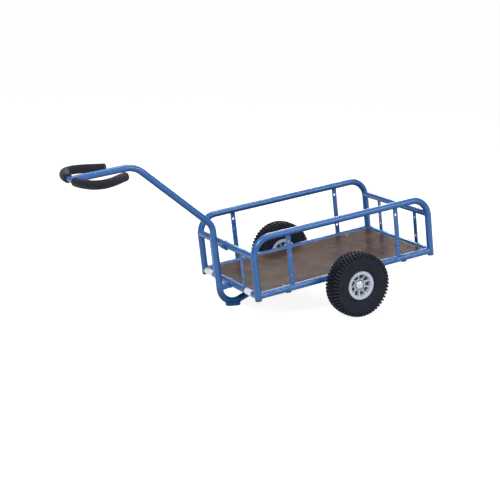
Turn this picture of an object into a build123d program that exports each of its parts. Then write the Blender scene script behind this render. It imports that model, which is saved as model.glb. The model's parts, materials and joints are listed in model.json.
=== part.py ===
from build123d import *
import math
import os

os.makedirs("parts", exist_ok=True)

# ---------------------------------------------------------------------------
# Two-wheeled tubular hand cart with a railed platform, in its parked stance.
# Millimetres. +Z is the floor's normal, +X points to the rear of the cart,
# the drawbar and its handle are at -X. Left is -Y, right is +Y.
# The whole cart leans nose-down on its parking foot by "lean" degrees, so
# every piece is drawn in deck coordinates (x, y, z parallel to the deck,
# z = 0 on the axis of the bottom rails) and placed through pt/vec/place.
# ---------------------------------------------------------------------------
lean = 8.95             # nose-down lean of the deck when parked
x_shift = 337.105       # puts the origin under the middle of the bounding box

tube_r = 13.45          # 26.9 mm round steel tube
tube_wall = 2.0
weld_gap = 0.06         # root gap left at the coped tube ends

leg_x = 402.7           # leg axes, measured from the middle of the deck
leg_y = 239.65
side_top_z = 225.0      # axis of the long side's top rail
end_top_z = 158.0       # axis of the short wall's top rail
hoop_bend_r = 75.0      # bend of the side hoops, on the tube axis
leg_end_z = -15.0       # lower cut of the four legs

post_w = 20.0           # flat bar posts
post_t = 4.0
side_post_x = 247.5
front_post_y = 135.0
end_post_out = 4.0      # the end posts stand a little outside the tube axes
rear_post_y = 135.0
post_hole_r = 5.0
side_hole_z = (51.0, 186.0)
end_hole_z = (42.0, 120.5)

deck_len = 775.5
deck_wid = 449.6
deck_t = 18.0
deck_top_z = 5.0
strip_x = 270.0         # two flat steel strips that carry the deck
strip_w = 20.0
strip_t = 4.0

wheel_r = 130.0         # 260 x 85 pneumatic tyre on a four inch split rim
tyre_w = 85.0
axle_x = -3.5
axle_z = -28.2
axle_r = 10.0
track_y = 318.9         # middle plane of each tyre
axle_end_w = 21.0       # axle end, outboard of the tyre's middle plane

lip_r = 57.7            # rim lip
lip_w = 30.2
lip_t = 4.0
bead_r = 50.8           # bead seat
barrel_r = 46.8         # inside of the rim barrel
window_r = 43.0         # outer edge of the nine pockets
boss_r = 25.0
bore_r = 13.5           # hub bore for the roller cage
spokes = 9
rib_angle = 26.0        # first rib, measured from the rear towards the top

shaft_x = -453.4        # upright part of the drawbar
loop_r = 62.6
slope_x = -375.25        # a point of the rising part behind the loop, 16 degrees
slope_z = -77.4
handle_z = 547.6        # axis of the horizontal part of the drawbar
bow_x = -1001.0
bow_r = 11.0            # 22 mm handle tube
bow_wall = 2.0
grip_r = 17.8

bolt_r = 4.0            # M8 bracket bolts
cl, sl = math.cos(math.radians(lean)), math.sin(math.radians(lean))
z_shift = wheel_r - (axle_x * sl + axle_z * cl)


def pt(x, y, z):
    """Deck coordinates to the part's frame."""
    return Vector(x * cl - z * sl + x_shift, y, x * sl + z * cl + z_shift)


def vec(x, y, z):
    """Deck direction to the part's frame."""
    return Vector(x * cl - z * sl, y, x * sl + z * cl)


def place(o, z, x):
    """Plane with its origin, normal and x direction given in deck terms."""
    return Plane(origin=pt(*o), z_dir=vec(*z), x_dir=vec(*x))


def floor_z(x):
    """Deck z of the floor below a deck x."""
    return axle_z - (wheel_r + (x - axle_x) * sl) / cl


# ------------------------------------------------------------ side frames ---
hoop_pts = [
    pt(-leg_x, -leg_y, leg_end_z),
    pt(-leg_x, -leg_y, side_top_z),
    pt(leg_x, -leg_y, side_top_z),
    pt(leg_x, -leg_y, leg_end_z),
]
# front leg, top rail and rear leg of the left side are one bent tube
with BuildPart() as left_side_hoop:
    with BuildLine() as hoop_path:
        FilletPolyline(*hoop_pts, radius=hoop_bend_r)
    with BuildSketch(place((-leg_x, -leg_y, leg_end_z), (0, 0, 1), (1, 0, 0))):
        Circle(tube_r)
        Circle(tube_r - tube_wall, mode=Mode.SUBTRACT)
    sweep(path=hoop_path.wires()[0])

# outside of both hoops, with the weld gap, for coping what is welded to them
with BuildPart() as hoop_envelope:
    with BuildSketch(place((-leg_x, -leg_y, leg_end_z), (0, 0, 1), (1, 0, 0))):
        Circle(tube_r + weld_gap)
    sweep(path=hoop_path.wires()[0])
    mirror(about=Plane.XZ)

# bottom rail of the left side, coped onto both legs
with BuildPart() as left_bottom_rail:
    with BuildSketch(place((-leg_x, -leg_y, 0), (1, 0, 0), (0, 1, 0))):
        Circle(tube_r)
        Circle(tube_r - tube_wall, mode=Mode.SUBTRACT)
    extrude(amount=2 * leg_x)
    for sx in (-1, 1):
        with BuildSketch(place((sx * leg_x, -leg_y, -40), (0, 0, 1), (1, 0, 0))):
            Circle(tube_r + weld_gap)
        extrude(amount=80, mode=Mode.SUBTRACT)


def end_rail(x, z, bolt_hole):
    """Cross tube of a short wall, coped onto the legs and the side rails."""
    with BuildPart() as rail:
        with BuildSketch(place((x, -leg_y, z), (0, 1, 0), (1, 0, 0))):
            Circle(tube_r)
            Circle(tube_r - tube_wall, mode=Mode.SUBTRACT)
        extrude(amount=2 * leg_y)
        add(hoop_envelope.part, mode=Mode.SUBTRACT)
        if z == 0:
            for sy in (-1, 1):
                with BuildSketch(place((-leg_x, sy * leg_y, 0), (1, 0, 0), (0, 1, 0))):
                    Circle(tube_r + weld_gap)
                extrude(amount=2 * leg_x, mode=Mode.SUBTRACT)
        if bolt_hole:
            with BuildSketch(place((x, 0, z - 30), (0, 0, 1), (1, 0, 0))):
                Circle(bolt_r + 0.3)
            extrude(amount=60, mode=Mode.SUBTRACT)
    return rail.part


with BuildPart() as front_bottom_beam:
    add(end_rail(-leg_x, 0, True))
with BuildPart() as rear_bottom_beam:
    add(end_rail(leg_x, 0, False))
with BuildPart() as front_top_rail:
    add(end_rail(-leg_x, end_top_z, True))
with BuildPart() as rear_top_rail:
    add(end_rail(leg_x, end_top_z, False))


# ------------------------------------------------------------------ posts ---
def side_post(x):
    """Flat bar between the bottom and the top rail, with two cord holes."""
    with BuildPart() as post:
        with BuildSketch(place((x, -leg_y, 0), (0, 1, 0), (1, 0, 0))) as face:
            with Locations((0, -side_top_z / 2)):
                Rectangle(post_w, side_top_z)
            with Locations(*[(0, -h) for h in side_hole_z]):
                Circle(post_hole_r, mode=Mode.SUBTRACT)
        extrude(amount=post_t / 2, both=True)
        for z in (0, side_top_z):
            with BuildSketch(place((x - 30, -leg_y, z), (1, 0, 0), (0, 1, 0))):
                Circle(tube_r + weld_gap)
            extrude(amount=60, mode=Mode.SUBTRACT)
    return post.part


def end_post(x, y):
    """The same flat bar on a short wall, lower and turned a quarter."""
    with BuildPart() as post:
        with BuildSketch(place((x, y, 0), (1, 0, 0), (0, 1, 0))) as face:
            with Locations((0, end_top_z / 2)):
                Rectangle(post_w, end_top_z)
            with Locations(*[(0, h) for h in end_hole_z]):
                Circle(post_hole_r, mode=Mode.SUBTRACT)
        extrude(amount=post_t / 2, both=True)
        for z in (0, end_top_z):
            with BuildSketch(place((math.copysign(leg_x, x), y - 30, z), (0, 1, 0), (1, 0, 0))):
                Circle(tube_r + weld_gap)
            extrude(amount=60, mode=Mode.SUBTRACT)
    return post.part


with BuildPart() as left_front_post:
    add(side_post(-side_post_x))
with BuildPart() as left_rear_post:
    add(side_post(side_post_x))
with BuildPart() as front_left_post:
    add(end_post(-leg_x - end_post_out, -front_post_y))
with BuildPart() as rear_left_post:
    add(end_post(leg_x + end_post_out, -rear_post_y))


# ------------------------------------------------------------------- deck ---
screw_y = 200.0
with BuildPart() as deck_panel:
    with BuildSketch(place((0, 0, deck_top_z - deck_t), (0, 0, 1), (1, 0, 0))):
        RectangleRounded(deck_len, deck_wid, 3)
    extrude(amount=deck_t)
    chamfer(deck_panel.edges().filter_by(Plane(origin=(0, 0, 0), z_dir=vec(0, 0, 1)))
            .sort_by(Axis(pt(0, 0, 0), vec(0, 0, 1)))[-8:], length=0.6)
    # screw holes with a countersink for the flush heads
    with Locations(*[place((sx * strip_x, sy * screw_y, deck_top_z), (0, 0, 1), (1, 0, 0))
                     for sx in (-1, 1) for sy in (-1, 1)]):
        CounterSinkHole(radius=3.1, counter_sink_radius=6.6, counter_sink_angle=90, depth=deck_t)


def deck_strip(x):
    """Flat steel strip welded under the two bottom rails."""
    with BuildPart() as strip:
        with BuildSketch(place((x, 0, deck_top_z - deck_t), (0, 0, -1), (1, 0, 0))):
            Rectangle(strip_w, 2 * leg_y + 14)
            with Locations((0, -screw_y), (0, screw_y)):
                Circle(2.6, mode=Mode.SUBTRACT)
        extrude(amount=strip_t)
        for sy in (-1, 1):
            with BuildSketch(place((x - 30, sy * leg_y, 0), (1, 0, 0), (0, 1, 0))):
                Circle(tube_r + weld_gap)
            extrude(amount=60, mode=Mode.SUBTRACT)
    return strip.part


with BuildPart() as front_deck_strip:
    add(deck_strip(-strip_x))
with BuildPart() as rear_deck_strip:
    add(deck_strip(strip_x))

# four countersunk screws that hold the panel down on the strips
with BuildPart() as deck_screws:
    for sx in (-1, 1):
        for sy in (-1, 1):
            with BuildSketch(place((sx * strip_x, sy * screw_y, deck_top_z - 0.2), (0, 1, 0), (1, 0, 0))):
                with BuildLine():
                    Polyline((0, 0), (5.6, 0), (5.6, 0.3), (2.9, 3.0), (2.9, 11.5), (2.45, 11.9),
                             (2.45, 22.5), (1.4, 24.5), (0, 24.5), (0, 0))
                make_face()
            revolve(axis=Axis(pt(sx * strip_x, sy * screw_y, 0), vec(0, 0, 1)))
            # cross recess
            with BuildSketch(place((sx * strip_x, sy * screw_y, deck_top_z - 0.2), (0, 0, -1), (1, 0, 0))):
                Rectangle(5.8, 1.2)
                Rectangle(1.2, 5.8)
            extrude(amount=1.6, mode=Mode.SUBTRACT)

# ------------------------------------------------------------ axle support ---
with BuildPart() as left_axle_plate:
    with BuildSketch(place((axle_x, -leg_y, axle_z), (0, -1, 0), (1, 0, 0))) as sk:
        with BuildLine():
            Polyline((-36, 20.5), (36, 20.5), (36, 15.5), (17.5, -7), (-17.5, -7), (-36, 15.5), (-36, 20.5))
        make_face()
        Circle(18.5)
        Circle(axle_r + 0.05, mode=Mode.SUBTRACT)
    extrude(amount=4, both=True)
    with BuildSketch(place((axle_x - 60, -leg_y, 0), (1, 0, 0), (0, 1, 0))):
        Circle(tube_r + weld_gap)
    extrude(amount=120, mode=Mode.SUBTRACT)

axle_half = track_y + axle_end_w
with BuildPart() as axle:
    with BuildSketch(place((axle_x, -axle_half, axle_z), (0, 1, 0), (1, 0, 0))):
        Circle(axle_r)
    extrude(amount=2 * axle_half)
    chamfer(axle.faces().sort_by(Axis.Y)[0].edges(), length=1.0)
    chamfer(axle.faces().sort_by(Axis.Y)[-1].edges(), length=1.0)

# spacer sleeves between the axle plates and the wheel hubs
with BuildPart() as axle_spacers:
    for sy in (-1, 1):
        with BuildSketch(place((axle_x, sy * (leg_y + tube_r + 0.4), axle_z), (0, sy, 0), (1, 0, 0))):
            Circle(13.0)
            Circle(axle_r + 0.1, mode=Mode.SUBTRACT)
        extrude(amount=track_y - 43.6 - leg_y - tube_r - 0.4)

# ---------------------------------------------------------------- drawbar ---
rear_x, rear_z = axle_x - 31.0, axle_z - 8.1
# corners of the drawbar's axis, before bending, all in the middle plane
slope = math.tan(math.radians(16.0))
loop_z = slope_z + (shaft_x + loop_r - slope_x) * slope + loop_r / math.cos(math.radians(16.0))
p_low = (shaft_x, slope_z - (slope_x - shaft_x) * slope)
p_rise = (slope_x + (rear_z - slope_z) / slope, rear_z)
p_elbow = (shaft_x, 250.2)
p_top = (shaft_x - (handle_z - 250.2) / 1.0204, handle_z)
anchor_x = axle_x - 49.0
drawbar_pts = [pt(rear_x, 0, rear_z), pt(p_rise[0], 0, p_rise[1]), pt(p_low[0], 0, p_low[1]),
               pt(p_elbow[0], 0, p_elbow[1]), pt(p_top[0], 0, p_top[1]), pt(bow_x, 0, handle_z)]
with BuildPart() as drawbar_tube:
    with BuildLine() as bar_path:
        FilletPolyline(*drawbar_pts, radius=[110.0, loop_r, 62.0, 88.0])
    with BuildSketch(place((rear_x, 0, rear_z), (-1, 0, 0), (0, 1, 0))):
        Circle(tube_r)
        Circle(tube_r - tube_wall, mode=Mode.SUBTRACT)
    sweep(path=bar_path.wires()[0])
    # coped onto the handle bow
    with BuildSketch(place((bow_x, -40, handle_z), (0, 1, 0), (1, 0, 0))):
        Circle(bow_r + weld_gap)
    extrude(amount=80, mode=Mode.SUBTRACT)
    # what would stand past the bow's far side is cut away
    with BuildSketch(place((bow_x, 0, handle_z), (-1, 0, 0), (0, 1, 0))):
        Rectangle(60, 60)
    extrude(amount=30, mode=Mode.SUBTRACT)
    # cross hole for the rear anchor bolt
    with BuildSketch(place((anchor_x, -30, rear_z), (0, 1, 0), (1, 0, 0))):
        Circle(5.2)
    extrude(amount=60, mode=Mode.SUBTRACT)

# anchor channel round the drawbar's rear end, hung on the axle
with BuildPart() as drawbar_anchor:
    with BuildSketch(place((axle_x, 0, axle_z), (0, -1, 0), (1, 0, 0))):
        with BuildLine():
            Polyline((-75, 9.5), (12, 9.5), (15, 0), (12, -12), (-20, -24), (-75, -24), (-75, 9.5))
        make_face()
        Circle(axle_r + 0.05, mode=Mode.SUBTRACT)
    extrude(amount=tube_r + 0.6 + 4.0, both=True)
    with BuildSketch(place((axle_x - 80, 0, rear_z - 1.5), (1, 0, 0), (0, 1, 0))):
        with Locations((0, -18.5)):
            Rectangle(2 * (tube_r + 0.6), 70)
    extrude(amount=110, mode=Mode.SUBTRACT)
    with BuildSketch(place((anchor_x, -30, rear_z), (0, 1, 0), (1, 0, 0))):
        Circle(5.2)
    extrude(amount=60, mode=Mode.SUBTRACT)

with BuildPart() as anchor_bolt:
    with BuildSketch(place((anchor_x, -(tube_r + 4.9), rear_z), (0, -1, 0), (1, 0, 0))):
        RegularPolygon(8.0, 6, major_radius=False)
    extrude(amount=6.4)
    with BuildSketch(place((anchor_x, -(tube_r + 5.0), rear_z), (0, 1, 0), (1, 0, 0))):
        Circle(4.95)
    extrude(amount=2 * tube_r + 10.0 + 10.0)
with BuildPart() as anchor_nut:
    with BuildSketch(place((anchor_x, tube_r + 4.9, rear_z), (0, 1, 0), (1, 0, 0))):
        RegularPolygon(8.0, 6, major_radius=False)
        Circle(5.0, mode=Mode.SUBTRACT)
    extrude(amount=8.0)
with BuildPart() as drawbar_end_plug:
    with BuildSketch(place((rear_x, 0, rear_z), (1, 0, 0), (0, 1, 0))):
        Circle(tube_r)
    extrude(amount=3.0)
    with BuildSketch(place((rear_x, 0, rear_z), (-1, 0, 0), (0, 1, 0))):
        Circle(tube_r - tube_wall - 0.1)
    extrude(amount=10.0)


def drawbar_bracket(z, outline, width):
    """Flat steel lug from the drawbar down and under a wall tube."""
    with BuildPart() as lug:
        with BuildSketch(place((0, 0, z), (0, -1, 0), (1, 0, 0))):
            with BuildLine():
                Polyline(*outline, outline[0])
            make_face()
        extrude(amount=width / 2, both=True)
        # coped onto the drawbar and onto the wall tube
        with BuildSketch(place((shaft_x, 0, z - 60), (0, 0, 1), (1, 0, 0))):
            Circle(tube_r + weld_gap)
        extrude(amount=120, mode=Mode.SUBTRACT)
        with BuildSketch(place((-leg_x, -40, z), (0, 1, 0), (1, 0, 0))):
            Circle(tube_r + weld_gap)
        extrude(amount=80, mode=Mode.SUBTRACT)
        with BuildSketch(place((-leg_x, 0, z - 40), (0, 0, 1), (1, 0, 0))):
            Circle(bolt_r + 0.3)
        extrude(amount=40, mode=Mode.SUBTRACT)
        with BuildSketch(place((shaft_x - 20, 0, z), (0, 0, 1), (1, 0, 0))):
            Rectangle(40, 80)
        extrude(amount=60, both=True, mode=Mode.SUBTRACT)
    return lug.part


b0 = shaft_x + tube_r
lug_t = 3.8             # plate under the wall tube
under = [(-leg_x - 10, -tube_r - weld_gap), (-leg_x + 13, -tube_r - weld_gap), (-leg_x + 13, -tube_r - lug_t),
         (-leg_x - 12, -tube_r - lug_t)]
with BuildPart() as upper_drawbar_bracket:
    add(drawbar_bracket(end_top_z, [(b0 - 6, 16), (b0 + 2, 13.5), (-leg_x - 13, -7)] + under
                        + [(-leg_x - 18, -12.5), (b0 + 2, 8), (b0 - 6, 10.5)], 30))
with BuildPart() as lower_drawbar_bracket:
    add(drawbar_bracket(0, [(b0 - 6, 4), (b0 + 6, 4), (-leg_x - 12, -2)] + under
                        + [(b0 + 4, -19.6), (b0 - 6, -19.6)], 26))

# one cup-head bolt down through each wall tube and its lug
with BuildPart() as bracket_bolts:
    for z in (0, end_top_z):
        with BuildSketch(place((-leg_x, 0, z), (0, -1, 0), (1, 0, 0))):
            with BuildLine():
                Polyline((0, tube_r + 4.2), (3.5, tube_r + 3.9), (6.0, tube_r + 2.4), (7.2, tube_r + 0.6),
                         (7.2, tube_r + 0.06), (3.9, tube_r + 0.06), (3.9, -tube_r - 9.6),
                         (3.2, -tube_r - 10.4), (0, -tube_r - 10.4), (0, tube_r + 4.2))
            make_face()
        revolve(axis=Axis(pt(-leg_x, 0, z), vec(0, 0, 1)))
with BuildPart() as bracket_nuts:
    for z in (0, end_top_z):
        with BuildSketch(place((-leg_x, 0, z - tube_r - lug_t - 0.1), (0, 0, -1), (1, 0, 0))):
            RegularPolygon(6.5, 6, major_radius=False)
            Circle(3.95, mode=Mode.SUBTRACT)
        extrude(amount=5.0)

# shoe under the drawbar's loop, flat on the floor in the parked stance
foot_x = -401.3
with BuildPart() as parking_foot:
    with BuildSketch(Plane(origin=pt(foot_x - 2.5, 0, floor_z(foot_x - 2.5)), z_dir=(0, 0, 1), x_dir=(1, 0, 0))):
        SlotOverall(63.5, 34)
    extrude(amount=14)
    fillet(parking_foot.faces().sort_by(Axis.Z)[0].edges(), radius=3.5)
    # seat of the bent tube
    with BuildSketch(place((shaft_x + loop_r, 0, loop_z), (-1, 0, 0), (0, 1, 0))):
        with Locations((0, -loop_r)):
            Circle(tube_r + weld_gap)
    revolve(axis=Axis(pt(shaft_x + loop_r, 0, loop_z), vec(0, 1, 0)), revolution_arc=360, mode=Mode.SUBTRACT)
    with BuildSketch(place((slope_x, 0, slope_z), (math.cos(math.radians(16)), 0, math.sin(math.radians(16))),
                           (0, 1, 0))):
        Circle(tube_r + weld_gap)
    extrude(amount=60, mode=Mode.SUBTRACT)


# ----------------------------------------------------------------- handle ---
def chain(start, heading, arcs):
    """Tangent arcs in the handle's plane: (radius, degrees) turning rearwards.
    Returns (first, middle, last) points of each arc, and the last heading."""
    out = []
    x, y = start
    h = heading
    for r, a in arcs:
        pts = []
        for t in (0.0, 0.5, 1.0):
            g = h + a * t
            pts.append((x + r * (math.cos(math.radians(h)) - math.cos(math.radians(g))),
                        y + r * (math.sin(math.radians(g)) - math.sin(math.radians(h)))))
        out.append(pts)
        x, y = pts[-1]
        h += a
    return out, (x, y), h


bow_flat = 40.7
bow_arcs = ((224.0, 27.4), (47.5, 85.9), (213.6, 13.6))
bow_tail = 54.0
bow_drop = 2.0          # the bow's plane falls this many degrees to the rear
arcs, tail_xy, tail_h = chain((bow_x, bow_flat), 0.0, bow_arcs)
tail_end = (tail_xy[0] + bow_tail * math.sin(math.radians(tail_h)),
            tail_xy[1] + bow_tail * math.cos(math.radians(tail_h)))


def bow_pt(x, y):
    """Point of the handle's plane, x measured like the deck's x."""
    u = x - bow_x
    t = math.radians(bow_drop)
    return pt(bow_x + u * math.cos(t), y, handle_z - u * math.sin(t))


def bow_start(start_y):
    """Point and heading (degrees) of the axis where it passes start_y."""
    if start_y <= bow_flat:
        return (bow_x, start_y), 0.0
    r = bow_arcs[0][0]
    g = math.degrees(math.asin((start_y - bow_flat) / r))
    return (bow_x + r * (1 - math.cos(math.radians(g))), start_y), g


def bow_edges(side, start_y, tail_cut):
    """One half of the bow's axis, from start_y outwards."""
    (x0, y0), g0 = bow_start(start_y)
    first = arcs[0]
    if start_y <= bow_flat:
        Line(bow_pt(x0, side * y0), bow_pt(bow_x, side * bow_flat))
    else:
        r, a = bow_arcs[0]
        g = math.radians((g0 + a) / 2)
        first = [(x0, y0), (bow_x + r * (1 - math.cos(g)), bow_flat + r * math.sin(g)), arcs[0][2]]
    for q3 in [first] + arcs[1:]:
        ThreePointArc(*[bow_pt(q[0], side * q[1]) for q in q3])
    k = 1.0 - tail_cut / bow_tail
    Line(bow_pt(tail_xy[0], side * tail_xy[1]),
         bow_pt(tail_xy[0] + (tail_end[0] - tail_xy[0]) * k, side * (tail_xy[1] + (tail_end[1] - tail_xy[1]) * k)))


tail_dir = (math.sin(math.radians(tail_h)), math.cos(math.radians(tail_h)))
with BuildPart() as handle_bow:
    for side in (-1, 1):
        with BuildLine() as bow_path:
            bow_edges(side, 0.0, 3.0)
        with BuildSketch(place((bow_x, 0, handle_z), (0, side, 0), (1, 0, 0))):
            Circle(bow_r)
            Circle(bow_r - bow_wall, mode=Mode.SUBTRACT)
        sweep(path=bow_path.wires()[0])

grip_start = {-1: 48.0, 1: 26.0}     # the two sleeves are not pushed on equally far


def grip(side):
    """Foam sleeve over one arm, closed and rounded at the free end."""
    with BuildPart() as sleeve:
        with BuildLine() as path:
            bow_edges(side, grip_start[side], 0.0)
        t = math.radians(bow_drop)
        o, g = bow_start(grip_start[side])
        g = math.radians(g)
        across_bow = vec(math.cos(g) * math.cos(t), -side * math.sin(g), -math.cos(g) * math.sin(t))
        along_bow = vec(math.sin(g) * math.cos(t), side * math.cos(g), -math.sin(g) * math.sin(t))
        with BuildSketch(Plane(origin=bow_pt(o[0], side * o[1]), z_dir=along_bow, x_dir=across_bow)):
            Circle(grip_r)
            Circle(bow_r + 0.15, mode=Mode.SUBTRACT)
        sweep(path=path.wires()[0])
        # closed, rounded end
        d = (tail_dir[0] * math.cos(t), side * tail_dir[1], -tail_dir[0] * math.sin(t))
        end = bow_pt(tail_end[0], side * tail_end[1])
        with BuildSketch(Plane(origin=end, z_dir=vec(math.sin(t), 0, math.cos(t)), x_dir=vec(*d))):
            with BuildLine():
                Line((0, 0), (0, grip_r))
                Line((0, grip_r), (0.6, grip_r))
                RadiusArc((0.6, grip_r), (5.6, grip_r - 5.0), 5.0)
                Line((5.6, grip_r - 5.0), (5.6, 0))
                Line((5.6, 0), (0, 0))
            make_face()
        revolve(axis=Axis(end, vec(*d)))
    return sleeve.part


with BuildPart() as left_grip:
    add(grip(-1))
with BuildPart() as right_grip:
    add(grip(1))

# --------------------------------------------------------------- end caps ---
with BuildPart() as leg_end_caps:
    for sx in (-1, 1):
        for sy in (-1, 1):
            with BuildSketch(place((sx * leg_x, sy * leg_y, leg_end_z - 0.05), (0, 0, -1), (1, 0, 0))):
                Circle(tube_r)
            extrude(amount=4.5, taper=4)
            with BuildSketch(place((sx * leg_x, sy * leg_y, leg_end_z - 0.05), (0, 0, 1), (1, 0, 0))):
                Circle(tube_r - tube_wall - 0.1)
            extrude(amount=12)

# blank label plates on the front of the bottom beam
label_y = ((-199.5, -146.0), (146.0, 217.0))
with BuildPart() as label_plates:
    for y0, y1 in label_y:
        with BuildSketch(place((-leg_x, y0, 0), (0, 1, 0), (-1, 0, 0))):
            Circle(tube_r + 0.45)
            Circle(tube_r + 0.05, mode=Mode.SUBTRACT)
            with BuildLine():
                Polyline((0, 0), (24, -34), (60, -30), (60, 60), (13, 60), (0, 0))
            make_face(mode=Mode.INTERSECT)
        extrude(amount=y1 - y0)

# ------------------------------------------------------------------ wheel ---
wheel_o = (axle_x, -track_y, axle_z)
wheel_axis = Axis(pt(*wheel_o), vec(0, -1, 0))
section = place(wheel_o, (-1, 0, 0), (0, -1, 0))     # local x outboard, y radial


def across(w):
    """Plane square to the axle, w outboard of the tyre's middle plane."""
    return place((axle_x, -track_y - w, axle_z), (0, -1, 0), (1, 0, 0))


tyre_out = [(26.0, bead_r + 0.2), (26.0, 57.2), (28.0, 58.6), (33.5, 62.5), (38.6, 70.0), (41.6, 80.0),
            (42.5, 90.0), (42.4, 99.0), (42.1, 107.0), (40.4, 117.0), (36.4, 123.6), (29.0, 127.9),
            (16.0, 129.5), (0, wheel_r)]
tyre_in = [(0, 121.6), (12.0, 120.6), (22.0, 117.6), (29.6, 111.8), (34.2, 103.0), (36.0, 91.0), (34.8, 80.0),
           (31.0, 71.5), (24.5, 65.0), (19.5, 60.0), (17.5, 54.0), (17.5, bead_r + 0.2)]
with BuildPart() as left_tyre:
    with BuildSketch(section):
        with BuildLine():
            Polyline(*(tyre_out + tyre_in + [tyre_out[0]]))
        make_face()
        mirror(about=Plane.YZ)
    revolve(axis=wheel_axis)

# inner tube with its valve stem, 2 mm of rubber round the air
tube_out = [(0, 120.5), (11.4, 119.4), (20.9, 116.5), (28.1, 111.0), (32.6, 102.4), (34.4, 91.0), (33.2, 80.7),
            (29.6, 72.8), (23.5, 66.9), (17.8, 61.4), (15.8, 54.6), (15.8, bead_r + 0.6), (0, bead_r + 0.6)]
tube_in = [(0, 118.5), (11.0, 117.5), (19.9, 114.8), (26.6, 109.8), (30.7, 101.9), (32.4, 91.0), (31.3, 81.3),
           (28.0, 74.1), (22.1, 68.3), (16.0, 62.3), (13.8, 55.2), (13.8, bead_r + 2.6), (0, bead_r + 2.6)]
valve_w = -13.2
valve_a = math.radians(rib_angle + 220.0)


def valve_plane(r):
    """Plane square to the valve stem, facing the hub, at radius r."""
    c, s = math.cos(valve_a), math.sin(valve_a)
    return place((axle_x + r * c, -track_y - valve_w, axle_z + r * s), (-c, 0, -s), (0, 1, 0))


with BuildPart() as left_inner_tube:
    with BuildSketch(section):
        with BuildLine():
            Polyline(*(tube_out + [tube_out[0]]))
        make_face()
        with BuildLine():
            Polyline(*(tube_in + [tube_in[0]]))
        make_face(mode=Mode.SUBTRACT)
        mirror(about=Plane.YZ)
    revolve(axis=wheel_axis)
    with BuildSketch(valve_plane(bead_r + 1.5)):
        Circle(3.6)
    extrude(amount=20)
    with BuildSketch(valve_plane(bead_r + 6)):
        Circle(1.0)
    extrude(amount=30, mode=Mode.SUBTRACT)

screw_r = 35.0
screw_angle = rib_angle + 20.0


def rim_half(outer):
    """Moulded rim half: lip, barrel, web, hub and nine ribs."""
    s = 1 if outer else -1
    hub_w = 19.0 if outer else 41.2
    with BuildPart() as half:
        with BuildSketch(section):
            with BuildLine():
                Polyline((0, bore_r), (s * hub_w, bore_r), (s * hub_w, boss_r), (s * 4, boss_r + 1.0),
                         (s * 4, barrel_r), (s * (lip_w - 6), window_r + 0.6), (s * (lip_w - 2.2), window_r),
                         (s * lip_w, window_r + 4.5), (s * lip_w, lip_r - 1), (s * (lip_w - 1), lip_r),
                         (s * (lip_w - lip_t + 1), lip_r), (s * (lip_w - lip_t), lip_r - 1),
                         (s * (lip_w - lip_t), bead_r), (s * 12, bead_r - 0.4), (0, bead_r - 0.4), (0, bore_r))
            make_face()
        revolve(axis=wheel_axis)
        # nine ribs
        with BuildSketch(across(s * 2)):
            with PolarLocations((boss_r + barrel_r) / 2, spokes, start_angle=rib_angle):
                Rectangle(barrel_r - boss_r + 3, 4.6)
        extrude(amount=s * (lip_w - 4))
        with BuildSketch(section):
            with BuildLine():
                Polyline((s * 17.5, boss_r - 1), (s * (lip_w - 3.2), window_r - 0.5), (s * (lip_w - 3.2), window_r + 0.1),
                         (s * 60, window_r + 0.1), (s * 60, boss_r - 1), (s * 17.5, boss_r - 1))
            make_face()
        if outer:
            revolve(axis=wheel_axis, mode=Mode.SUBTRACT)
            # recess round the axle cap
            with BuildSketch(across(12.8)):
                Circle(21.8)
            extrude(amount=20, mode=Mode.SUBTRACT)
        else:
            # rib tops cut back, outside the longer hub
            revolve(axis=wheel_axis, mode=Mode.SUBTRACT)
            with BuildSketch(across(0)):
                Circle(20.0)
                Circle(bore_r, mode=Mode.SUBTRACT)
            extrude(amount=-hub_w)
        # bosses and holes for the three joining screws
        with BuildSketch(across(s * 2)):
            with PolarLocations(screw_r, 3, start_angle=screw_angle):
                Circle(6.6)
        extrude(amount=s * (7.0 if outer else 3.0))
        with BuildSketch(across(-20)):
            with PolarLocations(screw_r, 3, start_angle=screw_angle):
                Circle(3.1)
        extrude(amount=26.5, mode=Mode.SUBTRACT)
        if not outer:
            with BuildSketch(valve_plane(bead_r + 5)):
                Circle(4.0)
            extrude(amount=12, mode=Mode.SUBTRACT)
    return half.part


with BuildPart() as left_rim_outer:
    add(rim_half(True))
with BuildPart() as left_rim_inner:
    add(rim_half(False))

with BuildPart() as left_rim_screws:
    with BuildSketch(across(-5.2)):
        with PolarLocations(screw_r, 3, start_angle=screw_angle):
            Circle(5.2)
    extrude(amount=-3.6)
    with BuildSketch(across(-5.3)):
        with PolarLocations(screw_r, 3, start_angle=screw_angle):
            Circle(3.0)
    extrude(amount=11.2)
    with BuildSketch(across(-8.9)):
        with PolarLocations(screw_r, 3, start_angle=screw_angle):
            RegularPolygon(2.5, 6)
    extrude(amount=2.4, mode=Mode.SUBTRACT)

# roller bearing: cage and twelve rollers, between the axle and the hub bore
cage_w0, cage_w1 = -40.6, 12.4
with BuildPart() as left_roller_cage:
    with BuildSketch(across(cage_w0)):
        Circle(bore_r - 0.15)
        Circle(axle_r + 0.15, mode=Mode.SUBTRACT)
    extrude(amount=cage_w1 - cage_w0)
    with BuildSketch(across(cage_w0 + 4)):
        with PolarLocations((bore_r + axle_r) / 2, 12):
            Circle(1.72)
    extrude(amount=cage_w1 - cage_w0 - 8, mode=Mode.SUBTRACT)
with BuildPart() as left_rollers:
    with BuildSketch(across(cage_w0 + 4.3)):
        with PolarLocations((bore_r + axle_r) / 2, 12):
            Circle(1.62)
    extrude(amount=cage_w1 - cage_w0 - 8.6)

# thrust washers each side of the hub
with BuildPart() as left_hub_washers:
    for w in (-43.4, 13.1):
        with BuildSketch(across(w)):
            Circle(17.0)
            Circle(axle_r + 0.1, mode=Mode.SUBTRACT)
        extrude(amount=1.9)

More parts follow.
